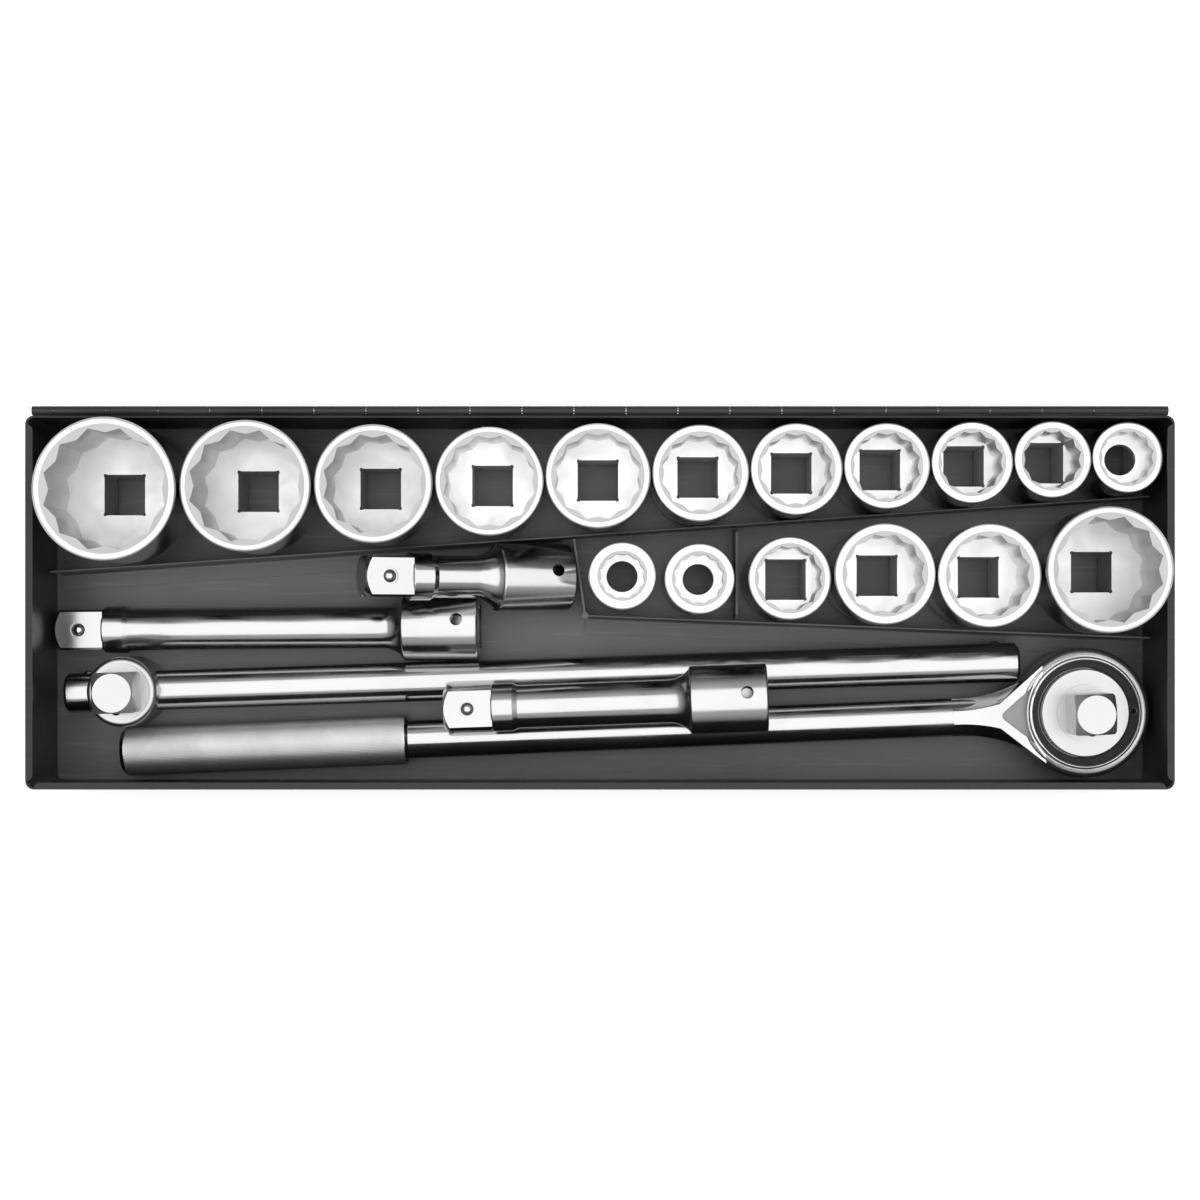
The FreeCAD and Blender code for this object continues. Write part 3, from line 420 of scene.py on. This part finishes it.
def case_paint(name, paint, dust, rough, shine):
    """Dark semi-gloss paint on sheet: orange peel, haze, dust specks and rubbed streaks."""
    material, tree, shader, where = start_finish(name)
    cloud = place_group(tree, "clouded_surface", (-850, 200), where, Scale=14.0, Speck_Scale=1500.0)
    rub = place_group(
        tree, "fine_scratches", (-850, -100), where, Stretch=(22.0, 420.0, 420.0), Amount=0.6)
    cloud_share = 0.55
    haze = calculate(
        tree, (-600, 150), "MULTIPLY_ADD", cloud["Cloud"], cloud_share, rub["Scratch"], clamp=True)
    feed(
        tree, shader,
        Base_Color=mix_colour(tree, (-350, 250), paint, dust, haze),
        Roughness=map_range(tree, (-350, 0), cloud["Cloud"], low=rough - 0.06, high=rough + 0.08),
        Normal=bump(tree, (-350, -250), cloud["Speck"], strength=0.12, distance=0.0002))
    set_sockets(shader, Specular_IOR_Level=shine)
    return material


def socket_chrome(name, across_flats, low, high):
    """Satin chrome with lathe rings about the socket's axis, a frosted mouth and a polished outside."""
    finish = settings().finish
    satin = finish.satin if across_flats < LARGE_SOCKET else finish.satin_large
    material, tree, shader, where = start_finish(name)
    centre = (low + high) / 2
    centred = add_node(tree, "ShaderNodeMapping", (-950, 0), Location=(-centre.x, -centre.y, -high.z))
    feed(tree, centred, Vector=where)
    cloud = place_group(tree, "clouded_surface", (-700, 200), where, Scale=55.0, Speck_Scale=1300.0)
    rings = place_group(tree, "turned_rings", (-700, -150), centred.outputs["Vector"], Rings=700.0)
    grain = bump(tree, (-550, -350), cloud["Speck"], strength=0.03, distance=0.00005)
    feed(
        tree, shader,
        Base_Color=mix_colour(tree, (-350, 250), darker(satin, share=0.92), satin, cloud["Cloud"]),
        Roughness=map_range(tree, (-350, 0), cloud["Cloud"], low=0.54, high=0.44),
        Normal=bump(tree, (-350, -250), rings["Height"], strength=0.03, distance=0.00004, before=grain))
    axes = split_vector(tree, (-950, -500), centred.outputs["Vector"])
    radius = calculate(tree, (-450, -500), "SQRT", square_reach(tree, (-600, -500), axes))
    edge = (high.x - low.x) / 2 - FACE_BAND
    outside = calculate(tree, (-300, -500), "GREATER_THAN", radius, edge)
    shade_where(material, outside, finish.socket_side, rougher=-0.32)
    mouth = across_flats / 2 / math.cos(CORNER_ANGLE) + MOUTH_BEVEL
    drop = calculate(tree, (-450, -700), "SUBTRACT", axes["Z"], radius)
    bevel = calculate(tree, (-300, -700), "COMPARE", drop, -mouth, FACE_BAND)
    shade_where(material, bevel, finish.bevel, rougher=0.15)
    metal = calculate(tree, (-100, -700), "MULTIPLY_ADD", bevel, finish.bevel_metal - 1.0, 1.0)
    feed(tree, shader, Metallic=metal)
    return material


def tool_chrome(name, colour, low_rough, high_rough, ripple):
    """Polished chrome with a faint ripple, clouded smears and hairline scratches along the bars."""
    material, tree, shader, where = start_finish(name)
    cloud = place_group(tree, "clouded_surface", (-850, 200), where, Scale=38.0, Speck_Scale=420.0)
    hair = place_group(
        tree, "fine_scratches", (-850, -100), where, Stretch=(45.0, 1600.0, 1600.0), Amount=0.5)
    smear = calculate(tree, (-600, 50), "MAXIMUM", cloud["Cloud"], hair["Scratch"])
    feed(
        tree, shader,
        Base_Color=mix_colour(tree, (-350, 250), darker(colour, share=0.93), colour, cloud["Cloud"]),
        Roughness=map_range(tree, (-350, 0), smear, low_rough, high_rough),
        Normal=bump(tree, (-350, -250), cloud["Speck"], ripple, distance=0.0001))
    set_sockets(shader, Metallic=1.0)
    return material


def ratchet_axes(tree):
    """Object coordinates in the ratchet's own frame, split into X, Y and Z."""
    place = ratchet_place()
    local = add_node(
        tree, "ShaderNodeMapping", (-1100, -600), vector_type="TEXTURE",
        Location=place.to_translation(), Rotation=place.to_euler())
    feed(tree, local, Vector=tree.nodes["Texture Coordinate"].outputs["Object"])
    return split_vector(tree, (-900, -600), local.outputs["Vector"])


def ratchet_body_chrome(name):
    """Tool chrome with a softer round head, painted lighter as a highlight, and a satin floor in the triangle
    between the ridges.
    """
    finish = settings().finish
    material = tool_chrome(name, finish.polished, low_rough=0.12, high_rough=0.22, ripple=0.03)
    tree = material.node_tree
    axes = ratchet_axes(tree)
    floor = calculate(tree, (-650, -500), "COMPARE", axes["Z"], TRIANGLE_FLOOR, FACE_BAND)
    between = calculate(tree, (-650, -700), "COMPARE", axes["X"], TRIANGLE_MIDDLE, TRIANGLE_HALF)
    triangle = calculate(tree, (-450, -600), "MULTIPLY", floor, between)
    reach = square_reach(tree, (-650, -900), axes)
    painted_highlight_disc = calculate(tree, (-450, -900), "LESS_THAN", reach, HEAD_RADIUS ** 2)
    beside = calculate(tree, (-450, -750), "SUBTRACT", 1.0, triangle)
    head = calculate(tree, (-250, -800), "MULTIPLY", painted_highlight_disc, beside)
    # Rougher finish on the round head, and a lighter colour there that is a painted highlight
    shade_where(material, head, finish.head, rougher=0.18)
    shade_where(material, triangle, finish.triangle, rougher=0.35)
    return material


def ratchet_drive_chrome(name):
    """Satin drive chrome with an oiled dark gear outside the bright plate."""
    finish = settings().finish
    material = tool_chrome(name, finish.drive, low_rough=0.26, high_rough=0.36, ripple=0.03)
    tree = material.node_tree
    reach = square_reach(tree, (-450, -600), ratchet_axes(tree))
    gear = calculate(tree, (-250, -600), "GREATER_THAN", reach, PLATE_RADIUS ** 2)
    shade_where(material, gear, finish.dark_steel, rougher=0.15)
    return material


def plain_steel(name, colour, low_rough, high_rough):
    """Ground or sprung steel with a light grain."""
    material, tree, shader, where = start_finish(name)
    cloud = place_group(tree, "clouded_surface", (-850, 200), where, Scale=240.0, Speck_Scale=2600.0)
    feed(
        tree, shader,
        Base_Color=mix_colour(tree, (-350, 250), darker(colour, share=0.8), colour, cloud["Cloud"]),
        Roughness=map_range(tree, (-350, 0), cloud["Speck"], low_rough, high_rough),
        Normal=bump(tree, (-350, -250), cloud["Speck"], strength=0.05, distance=0.00005))
    set_sockets(shader, Metallic=1.0)
    return material


def knurl_chrome(name, colour):
    """Satin chrome of the grip, whose relief is in its mesh."""
    material, tree, shader, where = start_finish(name)
    cloud = place_group(tree, "clouded_surface", (-850, 200), where, Scale=60.0, Speck_Scale=900.0)
    feed(
        tree, shader,
        Base_Color=mix_colour(tree, (-350, 250), darker(colour, share=0.85), colour, cloud["Cloud"]),
        Roughness=map_range(tree, (-350, 0), cloud["Speck"], low=0.38, high=0.52))
    set_sockets(shader, Metallic=1.0)
    return material


def floor_white(name, stage):
    """Matt white of the studio floor, with a little light of its own."""
    material, shader = new_material(name)
    set_sockets(
        shader, Base_Color=(*stage.floor_colour, 1.0), Roughness=0.8,
        Emission_Color=WHITE, Emission_Strength=stage.floor_glow)
    return material


# Operators


class SOCKETSET_OT_groups(bpy.types.Operator):
    """Builds the shared surface effects"""
    bl_idname = "socketset.groups"
    bl_label = "Surface effects"

    def execute(self, context):
        cloud_group()
        scratch_group()
        lathe_group()
        return {"FINISHED"}


class SOCKETSET_OT_case(bpy.types.Operator):
    """Paints the tray, the dividers and the hinge"""
    bl_idname = "socketset.case"
    bl_label = "Case paint"

    def execute(self, context):
        finish = settings().finish
        inside = case_paint("case_floor_paint", finish.paint, finish.paint_dust, rough=0.36, shine=0.5)
        walls = case_paint("case_wall_paint", finish.wall_paint, finish.wall_dust, rough=0.36, shine=0.25)
        leaves = case_paint("hinge_leaf_paint", finish.wall_paint, finish.wall_dust, rough=0.3, shine=0.25)
        dress(CASE_INSIDE, inside)
        dress(CASE_WALLS, walls)
        dress(HINGE_LEAVES, leaves)
        dress(("hinge_pin",), plain_steel("hinge_pin_steel", finish.steel, low_rough=0.2, high_rough=0.4))
        return {"FINISHED"}


class SOCKETSET_OT_sockets(bpy.types.Operator):
    """Gives each socket its satin chrome, turned about its own axis"""
    bl_idname = "socketset.sockets"
    bl_label = "Socket chrome"

    def execute(self, context):
        for name in SOCKETS:
            across_flats = int(name.removeprefix("socket_").removesuffix("mm")) * MILLIMETRE
            dress((name,), socket_chrome(name + "_chrome", across_flats, *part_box(name)))
        return {"FINISHED"}


class SOCKETSET_OT_tools(bpy.types.Operator):
    """Polishes the extension bars, the T handle and the ratchet"""
    bl_idname = "socketset.tools"
    bl_label = "Tool chrome"

    def execute(self, context):
        polished = settings().finish.polished
        drive = settings().finish.drive
        dress(EXTENSIONS, tool_chrome(
            "extension_chrome", polished, low_rough=0.14, high_rough=0.24, ripple=0.04))
        dress(("t_bar",), tool_chrome(
            "t_bar_chrome", polished, low_rough=0.13, high_rough=0.22, ripple=0.03))
        dress(("t_head",), tool_chrome(
            "t_head_chrome", drive, low_rough=0.26, high_rough=0.36, ripple=0.03))
        dress(("ratchet_body",), ratchet_body_chrome("ratchet_chrome"))
        dress(("ratchet_drive",), ratchet_drive_chrome("ratchet_drive_chrome"))
        dress(("ratchet_selector",), tool_chrome(
            "selector_chrome", polished, low_rough=0.12, high_rough=0.22, ripple=0.03))
        return {"FINISHED"}


class SOCKETSET_OT_small_parts(bpy.types.Operator):
    """Finishes balls, springs, ring, pawl and plunger"""
    bl_idname = "socketset.small_parts"
    bl_label = "Small steel parts"

    def execute(self, context):
        finish = settings().finish
        dress(BALLS, plain_steel("ball_steel", finish.steel, low_rough=0.12, high_rough=0.25))
        dress(SPRINGS, plain_steel("spring_wire", finish.dark_steel, low_rough=0.3, high_rough=0.5))
        dress(DARK_STEEL, plain_steel("dark_steel", finish.dark_steel, low_rough=0.35, high_rough=0.55))
        return {"FINISHED"}


class SOCKETSET_OT_knurled_grip(bpy.types.Operator):
    """Models the diamond knurl around the ratchet's grip"""
    bl_idname = "socketset.knurled_grip"
    bl_label = "Knurled grip"

    def execute(self, context):
        knurl = settings().knurl
        length = knurl.far_end - knurl.near_end
        deselect()
        bpy.ops.mesh.primitive_cylinder_add(
            vertices=knurl.columns, radius=knurl.radius, depth=length, end_fill_type="NOTHING")
        grip = context.object
        grip.name = "ratchet_knurl"
        self.cut_rows(grip, knurl.rows)
        self.press_grooves(grip, knurl, length)
        self.turn_in_ends(knurl)
        middle = Matrix.Translation((-(knurl.far_end + knurl.near_end) / 2, 0, 0))
        along_shank = Matrix.Rotation(math.radians(90), 4, "Y")
        grip.matrix_world = ratchet_place() @ middle @ along_shank
        bpy.ops.object.transform_apply(location=True, rotation=True, scale=True)
        grip.data.materials.append(knurl_chrome("knurl_chrome", settings().finish.grip))
        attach(grip, "ratchet")
        return {"FINISHED"}

    def cut_rows(self, grip, rows):
        """Cuts the cylinder across into rows, in edit mode."""
        # One call makes no more than 100 cuts, so the rows are cut in two steps
        for cuts in (1, rows // 2 - 1):
            self.select_along(grip)
            bpy.ops.mesh.subdivide(number_cuts=cuts)

    def select_along(self, grip):
        """Selects the edges that run along the grip, in edit mode."""
        if grip.mode != "EDIT":
            bpy.ops.object.mode_set(mode="EDIT")
        bpy.ops.mesh.select_mode(type="EDGE")
        bpy.ops.mesh.select_all(action="DESELECT")
        bpy.ops.object.mode_set(mode="OBJECT")
        for edge in grip.data.edges:
            a, b = (grip.data.vertices[i].co for i in edge.vertices)
            edge.select = abs(a.z - b.z) > LEVEL_EDGE
        bpy.ops.object.mode_set(mode="EDIT")

    def press_grooves(self, grip, knurl, length):
        """Presses every other point in, and both end rows, so that diamonds stand out."""
        bpy.ops.mesh.select_mode(type="VERT")
        bpy.ops.mesh.select_all(action="DESELECT")
        bpy.ops.object.mode_set(mode="OBJECT")
        turn = 2 * math.pi / knurl.columns
        row_height = length / knurl.rows
        for vertex in grip.data.vertices:
            column = round(math.atan2(vertex.co.y, vertex.co.x) / turn)
            row = round((vertex.co.z + length / 2) / row_height)
            end_row = row in (0, knurl.rows)
            vertex.select = end_row or (column + row) % 2 == 0
        bpy.ops.object.mode_set(mode="EDIT")
        self.draw_in(knurl.radius, knurl.depth)
        bpy.ops.mesh.select_all(action="SELECT")
        bpy.ops.mesh.quads_convert_to_tris(quad_method="SHORTEST_DIAGONAL")

    def turn_in_ends(self, knurl):
        """Turns both open ends in towards the shank and leaves edit mode."""
        bpy.ops.mesh.select_all(action="DESELECT")
        bpy.ops.mesh.select_mode(type="EDGE")
        bpy.ops.mesh.select_non_manifold()
        bpy.ops.mesh.extrude_edges_move()
        self.draw_in(knurl.radius, knurl.lip)
        bpy.ops.mesh.select_all(action="SELECT")
        bpy.ops.mesh.normals_make_consistent(inside=False)
        bpy.ops.object.mode_set(mode="OBJECT")

    def draw_in(self, radius, depth):
        """Moves what is selected towards the grip's axis, by a depth at its radius."""
        share = 1 - depth / radius
        bpy.ops.transform.resize(value=(share, share, 1), center_override=(0, 0, 0))


class SOCKETSET_OT_stage(bpy.types.Operator):
    """Sets the floor, the lights and the camera"""
    bl_idname = "socketset.stage"
    bl_label = "Stage"

    def execute(self, context):
        stage = settings().stage
        deselect()
        bpy.ops.mesh.primitive_plane_add(size=stage.floor_size, location=(0, 0, -stage.floor_gap))
        floor = context.object
        floor.name = "studio_floor"
        floor.data.materials.append(floor_white("studio_floor_white", stage))
        self.softbox(context, stage)
        context.scene.world = self.room(stage)
        context.scene.view_settings.view_transform = "Standard"
        lens = bpy.data.cameras.new("overhead_camera")
        lens.lens = stage.lens
        lens.sensor_width = stage.sensor
        lens.shift_y = stage.shift
        camera = bpy.data.objects.new("overhead_camera", lens)
        camera.location = (0.0, stage.camera_y, stage.camera_height)
        context.scene.collection.objects.link(camera)
        context.scene.camera = camera
        return {"FINISHED"}

    def room(self, stage):
        """Room that is bright overhead and dark towards the horizon."""
        world = bpy.data.worlds.new("studio_room")
        world.use_nodes = True
        tree = world.node_tree
        background = tree.nodes["Background"]
        set_sockets(background, Color=WHITE)
        look = add_node(tree, "ShaderNodeTexCoord", (-800, 0))
        climb = add_node(
            tree, "ShaderNodeMapRange", (-400, 0), interpolation_type="SMOOTHSTEP",
            From_Min=HORIZON_RISE, From_Max=CEILING_RISE, To_Min=stage.horizon, To_Max=stage.ceiling)
        feed(tree, climb, Value=split_vector(tree, (-600, 0), look.outputs["Generated"])["Z"])
        feed(tree, background, Strength=climb.outputs["Result"])
        return world

    def softbox(self, context, stage):
        """Lights the set straight from above."""
        deselect()
        bpy.ops.object.light_add(type="AREA", location=(0, 0, stage.light_height))
        lamp = context.object
        lamp.name = "top_softbox"
        lamp.data.shape = "RECTANGLE"
        lamp.data.size = stage.light_width
        lamp.data.size_y = stage.light_depth
        lamp.data.energy = stage.top_light


class SocketSetSettings(bpy.types.PropertyGroup):
    stage: PointerProperty(type=StageSettings, name="Stage", description="Floor, light and camera")
    finish: PointerProperty(type=FinishSettings, name="Finishes", description="Colours of paint and metal")
    knurl: PointerProperty(type=KnurlSettings, name="Knurl", description="Sizes of the knurled grip")


OPERATORS = (
    SOCKETSET_OT_groups,
    SOCKETSET_OT_case,
    SOCKETSET_OT_sockets,
    SOCKETSET_OT_tools,
    SOCKETSET_OT_small_parts,
    SOCKETSET_OT_knurled_grip,
    SOCKETSET_OT_stage,
)


class SOCKETSET_PT_panel(bpy.types.Panel):
    """Lists the steps that dress the socket set"""
    bl_idname = "SOCKETSET_PT_panel"
    bl_label = "Socket Wrench Set"
    bl_space_type = "VIEW_3D"
    bl_region_type = "UI"
    bl_category = "Socket Set"

    def draw(self, context):
        for operator in OPERATORS:
            self.layout.operator(operator.bl_idname)


SETTINGS = (StageSettings, FinishSettings, KnurlSettings, SocketSetSettings)
CLASSES = SETTINGS + OPERATORS + (SOCKETSET_PT_panel,)


def register():
    for cls in CLASSES:
        bpy.utils.register_class(cls)
    bpy.types.Scene.socket_set = PointerProperty(type=SocketSetSettings)


def unregister():
    del bpy.types.Scene.socket_set
    for cls in reversed(CLASSES):
        bpy.utils.unregister_class(cls)


def main():
    register()
    bpy.ops.socketset.groups()
    bpy.ops.socketset.case()
    bpy.ops.socketset.sockets()
    bpy.ops.socketset.tools()
    bpy.ops.socketset.small_parts()
    bpy.ops.socketset.knurled_grip()
    bpy.ops.socketset.stage()


if __name__ == "__main__":
    main()
